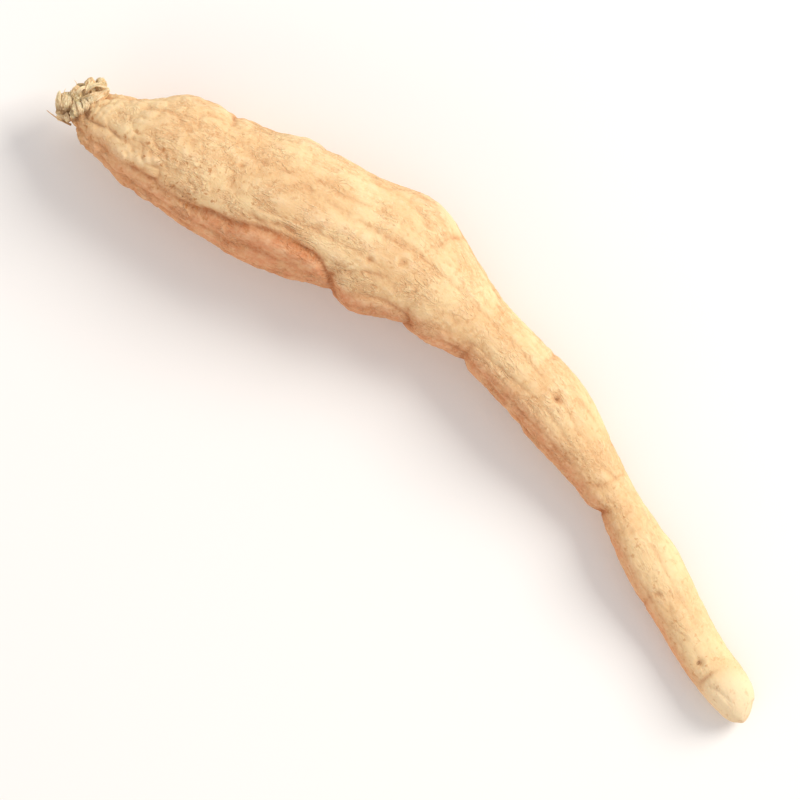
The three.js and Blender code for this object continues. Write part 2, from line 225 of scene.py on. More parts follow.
# Dried root skin: thin starchy bark that shrank on a hard white flesh. It is matt, cream on the
# open side, with orange painted shade in the folds and orange painted shade and bounced light on
# the lower side, partly the skin's own tint, a painted highlight on the ridges, fine crackled
# lines all over, and small brown pits where rootlets broke off.
skinFinish = {
    "cream": "#f0d29f",
    "tan": "#e7c08c",
    # painted highlight on ridges, also the colour of pale grain
    "ridgeHighlight": "#f4d9b0",
    # painted shade and bounced light on the lower side, partly the skin's own tint
    "warmShadeAndTint": "#db9469",
    # painted shade in folds, furrows and gaps, and the colour of dark specks and knot parts
    "fold": "#b06638",
    "line": "#cb7f48",
    "rust": "#b8743a",
    # brown of scar stains, also used for painted shade in the gap at the knot
    "pit": "#875730",
    "tip": "#f1dbb3",
    "crown": "#e6c08a",
    "patterns": {  # noise: size in mm, detail, roughness
        "patches": (2.6, 2.0, 0.5),  # clouds of cream and tan
        "mottle": (0.5, 4.0, 0.6),  # mottling of the skin
        "grain": (0.13, 3.0, 0.6),  # papery grain
        "smoother": (1.5, 1.0, 0.5),  # patches where the crackled lines are faint
        "rustSpots": (0.3, 3.0, 0.6),
    },
    "contrasts": {  # pattern, its lowest and highest value, and what these become
        "tanPart": ("patches", 0.35, 0.65, 0.0, 1.0),
        "crackledPart": ("smoother", 0.38, 0.6, 0.3, 1.0),
        "warmPart": ("mottle", 0.3, 0.65, 0.55, 1.0),
        "foldPart": ("mottle", 0.3, 0.7, 0.6, 1.0),
        "rustPart": ("rustSpots", 0.56, 0.7, 0.0, 0.8),
        "pitPart": ("mottle", 0.35, 0.6, 0.35, 1.0),
        "grainPart": ("grain", 0.3, 0.75, 0.0, 0.2),
    },
    "pitEdge": (0.3, 0.6, 0.0, 0.85),  # as a contrast, of pit and pitPart
    # Crackled lines: mm along and across of a cell, half width as a share of noise, seed,
    # and depth in mm
    "crackle": {
        "broadLines": (0.75, 0.38, 0.13, 3.0, 0.04),
        "fineLines": (0.36, 0.22, 0.14, 11.0, 0.024),
    },
    "coats": [  # over the cream, each over the last: colour, where it lies, its share there
        ("tan", "tanPart", 1.0),
        # painted highlight on ridges
        ("ridgeHighlight", "ridgeHighlight", 0.75),
        # painted shade and bounced light on the lower side, partly the skin's own tint
        ("warmShadeAndTint", "warmShadeAndTint", "warmPart"),
        ("crown", "crown", 0.8),
        # painted shade in folds, furrows and gaps, with dark specks
        ("fold", "darkAndPaintedShade", "foldPart"),
        ("tip", "tip", 1.0),
        ("line", "broadLines", 0.4),
        ("line", "fineLines", 0.32),
        ("rust", "rustPart", "rusty"),
        # scar stains, and painted shade in the gap at the knot
        ("pit", "pitted", 1.0),
        # pale grain in the highlight colour
        ("ridgeHighlight", "grainPart", 1.0),
    ],
    "mottleDepth": 0.07,  # mm
    "grainDepth": 0.01,  # mm
    "shader": {
        "Roughness": 0.85,
        "Specular IOR Level": 0.2,
        "Subsurface Weight": 0.06,
        "Subsurface Radius": (1.0, 0.5, 0.25),
        "Subsurface Scale": 0.0003,  # m
    },
}


def makeSkinMaterial(name, finish):
    # A field is a layer of the mesh, a noise pattern, or worked out from these. The coats of
    # colour are mixed one over another by such fields, and bumps follow from broad to fine.
    material, tree = newMaterial(name)
    rangeEnds = ("From Min", "From Max", "To Min", "To Max")
    smooth = {"interpolation_type": "SMOOTHSTEP"}
    times = {"operation": "MULTIPLY", "use_clamp": True}
    minus = {"operation": "SUBTRACT", "use_clamp": True}
    fields = {}
    for key in ("skinPlace", "darkAndPaintedShade", "ridgeHighlight", "warmShadeAndTint", "pit", "tip", "crown", "rough", "rusty"):
        layer = addNode(tree, "ShaderNodeAttribute", {"attribute_name": key}, {})
        fields[key] = layer.outputs["Vector" if key == "skinPlace" else "Fac"]
    place = fields["skinPlace"]
    for key, (size, detail, rough) in finish["patterns"].items():
        links = {"Vector": place, "Scale": 1 / size, "Detail": detail, "Roughness": rough}
        fields[key] = addNode(tree, "ShaderNodeTexNoise", {}, links)
    for key, (pattern, *ends) in finish["contrasts"].items():
        links = {"Value": fields[pattern], **dict(zip(rangeEnds, ends))}
        fields[key] = addNode(tree, "ShaderNodeMapRange", smooth, links)
    links = {0: fields["pit"], 1: fields["pitPart"]}
    links = {"Value": addNode(tree, "ShaderNodeMath", times, links)}
    links.update(zip(rangeEnds, finish["pitEdge"]))
    fields["pitted"] = addNode(tree, "ShaderNodeMapRange", smooth, links)

    # A crackled line is one where a stretched noise has its middle value
    links = {0: fields["crackledPart"], 1: fields["rough"]}
    rougher = addNode(tree, "ShaderNodeMath", times, links)
    raised = []
    for key, (along, across, halfWidth, seed, depth) in finish["crackle"].items():
        stretch = (1 / along, 1 / across, 1 / across)
        links = {"Vector": place, "Location": (seed, seed, seed), "Scale": stretch}
        run = addNode(tree, "ShaderNodeMapping", {}, links)
        links = {"Vector": run, "Scale": 1.0, "Detail": 2.5, "Roughness": 0.55, "Distortion": 0.9}
        value = addNode(tree, "ShaderNodeTexNoise", {}, links)
        away = addNode(tree, "ShaderNodeMath", {"operation": "SUBTRACT"}, {0: value, 1: 0.5})
        away = addNode(tree, "ShaderNodeMath", {"operation": "ABSOLUTE"}, {0: away})
        links = {"Value": away, **dict(zip(rangeEnds, (0.0, halfWidth, 1.0, 0.0)))}
        line = addNode(tree, "ShaderNodeMapRange", smooth, links)
        fields[key] = addNode(tree, "ShaderNodeMath", times, {0: line, 1: rougher})
        raised.append((addNode(tree, "ShaderNodeMath", minus, {0: 1.0, 1: fields[key]}), depth))

    base = colour(finish["cream"])
    for key, where, share in finish["coats"]:
        links = {0: fields[where], 1: fields.get(share, share)}
        amount = addNode(tree, "ShaderNodeMath", times, links)
        links = {0: amount, 6: base, 7: colour(finish[key])}
        base = addNode(tree, "ShaderNodeMix", {"data_type": "RGBA"}, links).outputs[2]

    links = {"Height": fields["mottle"], "Distance": finish["mottleDepth"] * metresPerMm}
    normal = addNode(tree, "ShaderNodeBump", {}, {"Strength": rougher, **links})
    for height, depth in [*raised, (fields["grain"], finish["grainDepth"])]:
        links = {"Height": height, "Distance": depth * metresPerMm, "Normal": normal}
        normal = addNode(tree, "ShaderNodeBump", {}, links)
    links = {"Base Color": base, "Normal": normal, **finish["shader"]}
    shader = addNode(tree, "ShaderNodeBsdfPrincipled", {}, links)
    addNode(tree, "ShaderNodeOutputMaterial", {}, {"Surface": shader})
    return material


# The root's skin, from the crown's dome to the blunt end of the tail

skin = {
    "crownEnd": 0.75,
    "tailEnd": 45.35,
    "bow": [
        (0, 0), (3, 0.6), (6, 1.75), (10, 2.85), (14, 4.15), (18, 5.15),
        (22.5, 5.2), (28, 4.72), (33, 3.55), (38, 1.88), (42, 0.6), (45.2, 0.05),
    ],
    "halfWidth": [
        (0.7, 1.05), (2, 1.6), (3.5, 2.14), (5, 2.62), (7, 3.02), (9.5, 3.2), (12, 3.3),
        (16.6, 3.22), (19, 2.76), (21, 2.2), (23, 1.86), (28, 1.88), (32, 1.38), (33.6, 1.22),
        (36.5, 1.38), (41, 1.2), (43.8, 1.1), (45.2, 0.84),
    ],
    "roundness": [(0.7, 1.0), (12, 0.94), (23, 0.97), (45.2, 0.98)],  # height over width
    "lift": [
        (0.7, 1.75), (3.5, 0.95), (8, -0.16), (12.5, 0.02), (17, -0.16), (22.5, 0.5),
        (30, 0.35), (35, 0.4), (40.5, -0.12), (45.2, 0.3),
    ],  # clear height underneath
    "rests": (8, 17, 40.5),  # where it lies on the surface, and its relief is pressed smooth
    "restRelief": {"kept": 0.2, "along": 2, "across": 1.4},
    "headingStep": 0.05,
    "sides": 160,
    "stretches": ((6, 0.06), (20, 0.072), (42, 0.084), (44.45, 0.06)),  # to, step
    "dome": {"depth": 0.45, "rings": 8},
    # The blunt end, rounder than the solid's and so a little short of it
    "blunt": {
        "leanUp": 0.35, "leanAside": 0.32, "leanFrom": 42,
        "depth": 0.9, "flatness": 0.62, "rings": 24, "short": 0.07,
    },
    "lumps": {"across": 2.6, "along": 5.5, "height": 0.13, "seed": 3},
    "wrinkles": {"across": 1.15, "along": 3.4, "height": 0.26, "seed": 11},
    "net": {"across": 0.7, "along": 0.8, "height": 0.26, "seed": 23},
    "wrinkleStrength": [(0.7, 1), (4, 0.6), (12, 0.8), (20, 0.8), (30, 0.7), (41, 0.4), (43, 0.2)],
    "netStrength": [(0.7, 1), (3, 0.75), (5.5, 0.45), (9, 0.2), (45.2, 0.1)],
    # The side that faces up and outwards: its wrinkles are lower, the fine ones down to a
    # share, and its marks fainter, up to marksFrom degrees away and less so up to marksTo
    "calm": {
        "angle": 62, "reach": 85, "share": 0.55, "fineKept": 0.2,
        "marks": 0.4, "marksFrom": 15, "marksTo": 45,
    },
    "crinkleMean": 0.55,
    # Relief too fine for the solid: across, along, height, seed, and strength in places
    "fine": [
        {"across": 0.42, "along": 0.5, "height": 0.17, "seed": 29,
         "strength": [(0.7, 1), (3.5, 0.8), (6, 0.5), (10, 0.25), (20, 0.15), (45, 0.08)]},
        {"across": 0.5, "along": 1.6, "height": 0.06, "seed": 31,
         "strength": [(0.7, 0.7), (6, 0.7), (20, 1), (34, 0.8), (42, 0.5), (43, 0.3)]},
        {"across": 0.27, "along": 0.42, "height": 0.07, "seed": 43,
         "strength": [(0.7, 1), (42, 0.8), (43, 0.4)]},
    ],
    # Sways the fine wrinkles, and the long marks by a share of it
    "drift": {"size": 1.1, "reach": 0.4, "seed": 57, "furrowShare": 0.35, "creaseShare": 0.9},
    # Small folds in rings around places on the neck, and around the crown
    "ringFolds": {"apart": 0.37, "height": 0.07, "sway": 0.8},
    "ringCentres": [  # along, angle, reach
        (3.5, 121, 1.1), (2.3, 150, 0.8), (5.2, 100, 0.9), (2.6, 85, 0.8), (6.8, 118, 0.8),
    ],
    "collar": {"to": 2.6, "fade": 1, "apart": 0.34, "height": 0.08, "sway": 1.5},
    "ringMean": 0.4,
    "swells": [  # along, angle, reach along, reach across, height
        (3.0, 5, 0.9, 1.1, -0.14), (5.5, 10, 1.1, 1.2, 0.36), (4.6, 158, 2.2, 1.4, 0.12),
        (10.4, 160, 2.4, 1.2, 0.2), (11.3, 12, 1.4, 1.4, 0.3), (14.6, 14, 1.5, 1.4, -0.1),
        (14.4, 178, 1.2, 1.3, -0.34), (16.4, 160, 1.4, 1.3, 0.32), (21.2, 160, 1.4, 1.1, 0.26),
        (17.5, 10, 1.6, 1.9, 0.46), (29.6, 165, 2.2, 0.9, 0.1), (32.7, 172, 0.6, 0.8, 0.14),
        (36.8, 20, 1.6, 0.8, 0.08), (14.0, 300, 3.0, 1.6, 0.12), (25.5, 320, 2.0, 1.0, 0.1),
    ],
    "lip": {"place": 2.2, "reach": 1.4},  # of a furrow, in its half widths
    "furrowFade": 6,
    "uneven": {"level": 0.78, "height": 0.35, "size": 1.2},  # shares of a furrow's depth, mm
    # Full painted shade in a furrow or crease, and the full stain round a scar, come at these
    # depths
    "fullDepth": {"furrow": 0.3, "crease": 0.4, "scar": 0.15},  # mm, for the full colour
    "furrows": [  # path, half width, depth, lip
        ([(3.6, 124), (7, 136), (9.3, 126), (11.6, 119), (13.8, 124), (15, 152)], 0.26, 0.24, 0.16),
        ([(9.2, 118), (10.8, 111), (13.2, 113), (14.4, 120)], 0.22, 0.12, 0.06),
        ([(1.2, 95), (3.4, 102), (5.4, 98)], 0.2, 0.08, 0.03),
        ([(15.2, 148), (17.4, 132), (19.2, 138)], 0.25, 0.12, 0.06),
        ([(23.5, 152), (27, 146), (30.5, 150)], 0.25, 0.1, 0.04),
        ([(24.5, 40), (27.5, 46), (30.8, 38)], 0.22, 0.1, 0.03),
        ([(35, 64), (38, 72), (41.5, 66)], 0.2, 0.08, 0.02),
        ([(43, 118), (43.7, 110), (44.4, 106)], 0.16, 0.1, 0.03),
        ([(5, 232), (9, 222), (13, 228)], 0.3, 0.22, 0.08),
        ([(10, 330), (14, 338), (19, 326)], 0.3, 0.2, 0.08),
        ([(20, 236), (25, 242), (31, 234)], 0.25, 0.14, 0.05),
        ([(33, 310), (37, 302), (41, 312)], 0.2, 0.1, 0.03),
    ],
    "fineFurrows": [  # as the furrows, too fine for the solid
        ([(2.6, 142), (5.5, 150), (9, 146), (13, 140)], 0.13, 0.1, 0.05),
        ([(5.5, 126), (8, 129), (10.5, 124)], 0.12, 0.08, 0.04),
        ([(4.6, 160), (8, 166), (12, 158), (14.6, 162)], 0.13, 0.09, 0.04),
        ([(15.6, 160), (17.6, 150), (19, 156)], 0.12, 0.08, 0.04),
        ([(20, 146), (22.4, 138), (24.4, 142)], 0.12, 0.08, 0.04),
        ([(24, 128), (27, 134), (31, 124)], 0.11, 0.07, 0.03),
        ([(25, 168), (29, 160), (33, 166)], 0.12, 0.08, 0.04),
        ([(34.5, 140), (38, 134), (41, 142)], 0.1, 0.035, 0.02),
    ],
    "longestCrease": 2.2,
    "creases": [  # along, angle, span in degrees, lean, half width, depth
        (15.0, 168, 34, 0.12, 0.34, 0.42), (19.4, 168, 34, 0.1, 0.34, 0.36),
        (22.9, 170, 40, 0.12, 0.34, 0.34), (33.4, 168, 42, 0.1, 0.36, 0.38),
        (7.3, 14, 30, 0.05, 0.3, 0.2), (18.4, 42, 24, -0.35, 0.26, 0.22),
        (32.1, 76, 40, -0.2, 0.24, 0.15),
        (42.8, 122, 45, -0.35, 0.2, 0.14), (27.3, 172, 34, 0.1, 0.28, 0.14),
        (38.2, 164, 46, 0.05, 0.26, 0.12), (26.0, 14, 30, -0.1, 0.24, 0.12),
        (11.9, 6, 30, 0.1, 0.26, 0.08),
    ],
    "scarShape": {
        "pit": 0.8, "rimPlace": 1.5, "rimReach": 0.5, "rimHeight": 0.2,
        "stain": 0.6, "stainSway": 0.5,
    },
    "scars": [  # along, angle, radius, depth
        (8.9, 76, 0.24, 0.07), (13.2, 98, 0.22, 0.06), (15.9, 104, 0.22, 0.07),
        (17.4, 91, 0.26, 0.11), (27.5, 76, 0.34, 0.12), (34.9, 98, 0.2, 0.06),
        (37.9, 112, 0.22, 0.07), (41.9, 110, 0.26, 0.1),
    ],
    "warts": [  # along, angle, radius, height
        (3.5, 121, 0.5, 0.28), (2.3, 138, 0.42, 0.24), (4.5, 112, 0.4, 0.18),
        (2.0, 70, 0.5, 0.14), (1.5, 175, 0.45, 0.2), (1.9, 250, 0.5, 0.2), (2.6, 310, 0.45, 0.16),
    ],
    "underside": {
        "count": 14, "from": 4, "to": 42, "lowAngle": 205, "highAngle": 340, "seed": 7,
        "scar": {"smallest": 0.3, "largest": 0.42, "depth": 0.15},
        "crease": {"span": 30, "mostLean": 0.25, "halfWidth": 0.26, "depth": 0.14},
    },
    # Painted shade in folds and a painted highlight on ridges, where they stand out from the relief
    # softened over some cells: cells, mm below for full shade, its share, mm above for a full
    # highlight, its share
    "levels": [(5, 0.12, 0.36, 0.08, 0.6), (2, 0.04, 0.3, 0.03, 0.4)],
    # Strength along the root of the painted shade and highlight, and the share of painted shade in
    # furrows
    "reliefTone": [(0.7, 0.65), (8, 0.75), (14, 1), (34, 1), (40, 0.75)],
    "furrowTone": 0.85,
    # Dark specks between the folds beside the knot, painted shade in the gap right at it, and
    # painted shade on the skin near the buds
    "specks": {
        "along": 3.2, "degrees": 13, "seed": 91, "gain": 1.8, "level": 0.2,
        "share": 0.45, "from": 0.8, "to": 1.9,
    },
    "gap": {"along": 1.16, "angle": 108, "lean": -0.012, "reach": 0.2, "span": 50, "least": 0.6},
    "nearKnot": {"share": 0.9, "power": 3},
    "crownTone": (0.9, 2.4),  # mm along, where the crown's colour fades
    "tip": {"angle": 96, "lean": 0.35, "from": 42.2, "to": 44.2, "share": 0.85, "lessWarm": 0.6},
    "crackled": [
        (0.7, 0.8), (6, 0.85), (12, 0.9), (20, 0.8), (30, 0.7), (36, 0.45), (42, 0.4), (44, 0.2),
    ],
    "smoothSide": {"angle": 62, "reach": 60, "share": 0.35},
    "rusty": [(0.7, 1), (9, 1), (12, 0.3), (26, 0.2), (33, 0.7), (38, 0.4), (42, 0.55), (44, 0)],
    "rustySide": {"angle": 112, "reach": 40, "least": 0.35},
    # The warm coat: painted shade and bounced light on the side turned from the light, partly the
    # skin's own tint
    "warmFrom": [
        (0.7, 95), (3.6, 116), (7, 130), (9.3, 120), (11.6, 113), (13.8, 118), (15, 136),
        (19.4, 126), (22.9, 116), (28, 108), (34, 118), (40, 126), (45, 140),
    ],  # angle at which the warm side starts
    # Degrees until it is full, from a share of them before that angle
    "warmEdge": [(0.7, 30), (7, 20), (9, 12), (15, 12), (19, 30), (45, 40)],
    "warmBefore": -0.3,
    "warmFade": {"from": 45, "to": 130, "share": 0.6},  # degrees on, where it fades again
    "warmUnder": {"before": -60, "from": 100, "to": 160, "share": 0.4},  # degrees back
    "warmStrength": [
        (0.7, 0.4), (2.5, 0.6), (6, 0.85), (11, 1), (15, 1), (23, 0.95), (32, 0.85),
        (42, 0.75), (45, 0.4),
    ],
}


def undersideMarks():
    # Scars and creases of the underside, one in each equal stretch, drawn by a seed
    marks = skin["underside"]
    scar, crease = marks["scar"], marks["crease"]
    scars, creases = [], []
    for i in range(marks["count"]):
        place, around, size, slant = [drawn(i, j, 0, marks["seed"]) for j in (1, 2, 3, 4)]
        along = marks["from"] + (marks["to"] - marks["from"]) * (i + place) / marks["count"]
        angle = marks["lowAngle"] + (marks["highAngle"] - marks["lowAngle"]) * around
        radius = scar["smallest"] + (scar["largest"] - scar["smallest"]) * size
        scars.append((along, angle, radius, scar["depth"]))
        if i % 2 == 0:
            shape = crease["span"], crease["mostLean"] * (2 * slant - 1)
            creases.append((along, angle, *shape, crease["halfWidth"], crease["depth"]))
    return scars, creases


def crinkle(pattern, along, y, z):
    # Rounded skin between sharp valleys: the root of noise's size, about its mean
    across = pattern["across"]
    value = noise(along / pattern["along"], y / across, z / across, pattern["seed"])
    return np.sqrt(np.abs(value)) - skin["crinkleMean"]


def skinRelief(along, angle, radius):
    # Height of the relief above the plain spindle, in mm, with the share of each place that
    # is a pit and that lies in a furrow: noise wrinkles, then each mark added by its own bell
    turn = np.radians(angle)
    y, z = radius * np.cos(turn), radius * np.sin(turn)

    def across(centre):
        return np.radians(degreesFrom(angle, centre)) * radius

    free, pressed = 1.0, skin["restRelief"]
    for rest in skin["rests"]:
        press = bell(along - rest, pressed["along"]) * bell(across(270), pressed["across"])
        free -= (1 - pressed["kept"]) * press
    calm, lumps, drift = skin["calm"], skin["lumps"], skin["drift"]
    folded = 1 - calm["share"] * bell(degreesFrom(angle, calm["angle"]), calm["reach"])
    wrinkled = skin["wrinkles"]["height"] * through(skin["wrinkleStrength"], along) * folded
    netted = skin["net"]["height"] * through(skin["netStrength"], along)
    size = lumps["across"]
    height = noise(along / lumps["along"], y / size, z / size, lumps["seed"])
    height = lumps["height"] * height
    height += wrinkled * crinkle(skin["wrinkles"], along, y, z)
    height += netted * crinkle(skin["net"], along, y, z)
    size, seeds = drift["size"], (drift["seed"], drift["seed"] + 1)
    sway = [drift["reach"] * noise(along / size, y / size, z / size, seed) for seed in seeds]
    for pattern in skin["fine"]:
        kept = calm["fineKept"] + (1 - calm["fineKept"]) * folded
        share = pattern["height"] * through(pattern["strength"], along) * kept
        height += share * crinkle(pattern, along + sway[0], y + sway[1], z)
    folds, collar, ringMean = skin["ringFolds"], skin["collar"], skin["ringMean"]
    for ringAlong, ringAngle, reach in skin["ringCentres"]:
        distance = np.hypot(along - ringAlong, across(ringAngle))
        wave = np.cos(np.pi * (distance + folds["sway"] * sway[0]) / folds["apart"])
        ringed = folds["height"] * (ringMean - np.sqrt(np.abs(wave)))
        height += ringed * bell(distance, reach)
    wave = np.cos(np.pi * (along + collar["sway"] * sway[1]) / collar["apart"])
    ringed = collar["height"] * (1 - ramp(along, collar["to"] - collar["fade"], collar["to"]))
    height += ringed * (ringMean - np.sqrt(np.abs(wave)))
    height *= free

    for swellAlong, swellAngle, reachAlong, reachAcross, swellHeight in skin["swells"]:
        swell = bell(along - swellAlong, reachAlong) * bell(across(swellAngle), reachAcross)
        height += swellHeight * swell
    away = np.abs(degreesFrom(angle, calm["angle"]))
    shown = calm["marks"] + (1 - calm["marks"]) * ramp(away, calm["marksFrom"], calm["marksTo"])
    furrowed = np.zeros_like(height)
    rough, full = skin["uneven"], skin["fullDepth"]
    for path, halfWidth, depth, lip in skin["furrows"] + skin["fineFurrows"]:
        start, end = path[0][0], path[-1][0]
        uneven = noise(along / rough["size"], 0 * along, 0 * along, start)
        uneven = rough["level"] + rough["height"] * uneven
        fromMiddle = (along - (start + end) / 2) / ((end - start) / 2)
        inside = shown * uneven * np.exp(-(fromMiddle ** skin["furrowFade"]))
        distance = across(through(path, along)) + drift["furrowShare"] * sway[1]
        toLip = distance - skin["lip"]["place"] * halfWidth
        height -= depth * inside * fold(distance, halfWidth)
        height += lip * inside * bell(toLip, skin["lip"]["reach"] * halfWidth)
        coloured = min(1, depth / full["furrow"])
        furrowed = np.maximum(furrowed, inside * bell(distance, halfWidth) * coloured)
    scars, creases = undersideMarks()
    for creaseAlong, creaseAngle, span, lean, halfWidth, depth in skin["creases"] + creases:
        aside = across(creaseAngle)
        reach = np.minimum(np.radians(span) * radius, skin["longestCrease"])
        distance = along - creaseAlong - lean * aside + drift["creaseShare"] * sway[0]
        inside = shown * bell(aside, reach)
        height -= depth * inside * fold(distance, halfWidth)
        coloured = min(1, depth / full["crease"])
        furrowed = np.maximum(furrowed, inside * bell(distance, halfWidth) * coloured)
    pitted, shape = np.zeros_like(height), skin["scarShape"]
    for scarAlong, scarAngle, scarRadius, depth in skin["scars"] + scars:
        distance = np.hypot(along - scarAlong, across(scarAngle)) / scarRadius
        rim = shape["rimHeight"] * bell(distance - shape["rimPlace"], shape["rimReach"])
        height += depth * (rim - bell(distance, shape["pit"]))
        stain = bell(distance + shape["stainSway"] * sway[0], shape["stain"])
        pitted = np.maximum(pitted, stain * min(1, depth / full["scar"]))
    for wartAlong, wartAngle, wartRadius, wartHeight in skin["warts"]:
        distance = np.hypot(along - wartAlong, across(wartAngle))
        height += wartHeight * bell(distance, wartRadius)
    return height, furrowed, pitted


def axisPoint(along):
    # Middle of the root: along X, the bow in Y, and half the height above the clear height
    halfHeight = through(skin["halfWidth"], along) * through(skin["roundness"], along)
    high = through(skin["lift"], along) + halfHeight
    return np.stack([along, through(skin["bow"], along), high], axis=-1)


def skinRings():
    # Rings as columns along, scale and shift: a dome at the crown, even steps along the body,
    # and rings drawn in over the blunt end
    dome, blunt = skin["dome"], skin["blunt"]
    turn = np.arange(1, dome["rings"] + 1) / (dome["rings"] + 1) * 0.5 * np.pi
    start = np.full(dome["rings"], skin["crownEnd"])
    rings = [np.stack([start, np.sin(turn), -dome["depth"] * np.cos(turn)])]
    begin = skin["crownEnd"]
    for to, step in skin["stretches"]:
        along = np.linspace(begin, to, int(round((to - begin) / step)), endpoint=False)
        rings.append(np.stack([along, np.ones_like(along), np.zeros_like(along)]))
        begin = to
    turn = np.arange(blunt["rings"]) / blunt["rings"] * 0.5 * np.pi
    tip = skin["tailEnd"] - blunt["depth"] * (1 - np.sin(turn))
    rings.append(np.stack([tip, np.cos(turn) ** blunt["flatness"], 0 * turn]))
    return np.concatenate(rings, axis=1)


def skinSurface(along, angle, scale, shift):
    # Point of the skin: the axis, plus the radius and relief outwards in the ring's own
    # plane, plus the shift along the heading; near the tail the ring leans back, so that
    # the end is aslant; nothing is lower than the surface that the root lies on
    width = through(skin["halfWidth"], along)
    height = width * through(skin["roundness"], along)
    relief, furrowed, pitted = skinRelief(along, angle, width)
    cosine, sine = np.cos(np.radians(angle)), np.sin(np.radians(angle))
    step = skin["headingStep"]
    heading = unit(axisPoint(along + step) - axisPoint(along - step))
    side = unit(np.stack([-heading[..., 1], heading[..., 0], 0 * along], axis=-1))
    up = np.cross(heading, side)
    outAside = scale * (width + relief) * cosine
    outUp = scale * (height + relief) * sine
    blunt = skin["blunt"]
    leaning = through([(blunt["leanFrom"], 0), (skin["tailEnd"], 1)], along)
    back = leaning * (blunt["leanUp"] * outUp + blunt["leanAside"] * outAside)
    points = axisPoint(along) + side * outAside[..., None] + up * outUp[..., None]
    points += heading * (shift - back)[..., None]
    points[..., 2] = np.maximum(points[..., 2], 0)
    return points, relief, furrowed, pitted


def makeSkin():
    # Grid of rings by sides, with a mask for each colour: painted shade in folds and a painted
    # highlight on ridges from the relief against its own softened level, and the rest from the
    # place on the skin
    along, scale, shift = skinRings()
    sides = skin["sides"]
    angle = np.arange(sides) * 360 / sides
    along, angle = np.meshgrid(along, angle, indexing="ij")
    scale, shift = scale[:, None], shift[:, None]
    points, relief, furrowed, pitted = skinSurface(along, angle, scale, shift)
    radius = scale * through(skin["halfWidth"], along)

    # Painted shade in folds and painted highlight on ridges, from the relief against its softened
    # level
    darkAndPaintedShade, ridgeHighlight = 0, 0
    for cells, deep, foldShare, high, ridgeShare in skin["levels"]:
        above = relief - softened(relief, cells)
        darkAndPaintedShade += foldShare * np.clip(-above / deep, 0, 1)
        ridgeHighlight += ridgeShare * np.clip(above / high, 0, 1)
    tone = through(skin["reliefTone"], along)
    specks, gap, nearKnot = skin["specks"], skin["gap"], skin["nearKnot"]
    dark = noise(along * specks["along"], angle / specks["degrees"], 0 * along, specks["seed"])
    dark = np.clip(dark * specks["gain"] + specks["level"], 0, 1)
    # Painted shade in furrows, dark specks by the knot, and painted shade near the buds
    darkAndPaintedShade = darkAndPaintedShade * tone + skin["furrowTone"] * furrowed
    darkAndPaintedShade += specks["share"] * dark * (1 - ramp(along, specks["from"], specks["to"]))
    darkAndPaintedShade += nearKnot["share"] * knotShade(points) ** nearKnot["power"]
    # Painted shade in the gap between the skin and the knot
    fromGap = degreesFrom(angle, gap["angle"])
    gapShade = bell(along - (gap["along"] + gap["lean"] * fromGap), gap["reach"])
    gapShade = gapShade * bell(fromGap, gap["span"]) * (gap["least"] + (1 - gap["least"]) * dark)

    # Painted shade and bounced light in orange on the side turned from the light, partly the skin's
    # own tint
    fade, under = skin["warmFade"], skin["warmUnder"]
    fromWarm = degreesFrom(angle, through(skin["warmFrom"], along))
    warmShadeAndTint = ramp(fromWarm / through(skin["warmEdge"], along), skin["warmBefore"], 1)
    warmShadeAndTint *= 1 - fade["share"] * ramp(fromWarm, fade["from"], fade["to"])
    back = under["share"] * ramp(-fromWarm, under["from"], under["to"])
    warmShadeAndTint = np.where(fromWarm < under["before"], back, warmShadeAndTint)
    warmShadeAndTint *= through(skin["warmStrength"], along)

    tip, smoothSide, rustySide = skin["tip"], skin["smoothSide"], skin["rustySide"]
    aside = np.radians(degreesFrom(angle, tip["angle"])) * through(skin["halfWidth"], along)
    pale = tip["share"] * ramp(along + tip["lean"] * aside, tip["from"], tip["to"])
    smoother = bell(degreesFrom(angle, smoothSide["angle"]), smoothSide["reach"])
    rusty = bell(degreesFrom(angle, rustySide["angle"]), rustySide["reach"])
    rusty = (1 - rustySide["least"]) * rusty * through(skin["rusty"], along)
    turn = np.radians(angle)
    place = np.stack([along + shift, radius * np.cos(turn), radius * np.sin(turn)], axis=-1)

    layers = {
        "skinPlace": place,
        "darkAndPaintedShade": np.clip(darkAndPaintedShade, 0, 1),
        "ridgeHighlight": ridgeHighlight * tone,
        "warmShadeAndTint": warmShadeAndTint,
        # scar stains, and painted shade in the gap at the knot
        "pit": np.clip(np.maximum(pitted, gapShade), 0, 1),
        "tip": pale * (1 - tip["lessWarm"] * warmShadeAndTint),
        "crown": 1 - ramp(along, *skin["crownTone"]),
        "rough": through(skin["crackled"], along) * (1 - smoothSide["share"] * smoother),
        "rusty": rustySide["least"] + rusty,
    }
    return closedGrid(points, layers)


# The crown knot: old buds, each a puckered ellipsoid ridged by its fibres, curled bud scales
# that lie over them, and stray fibres

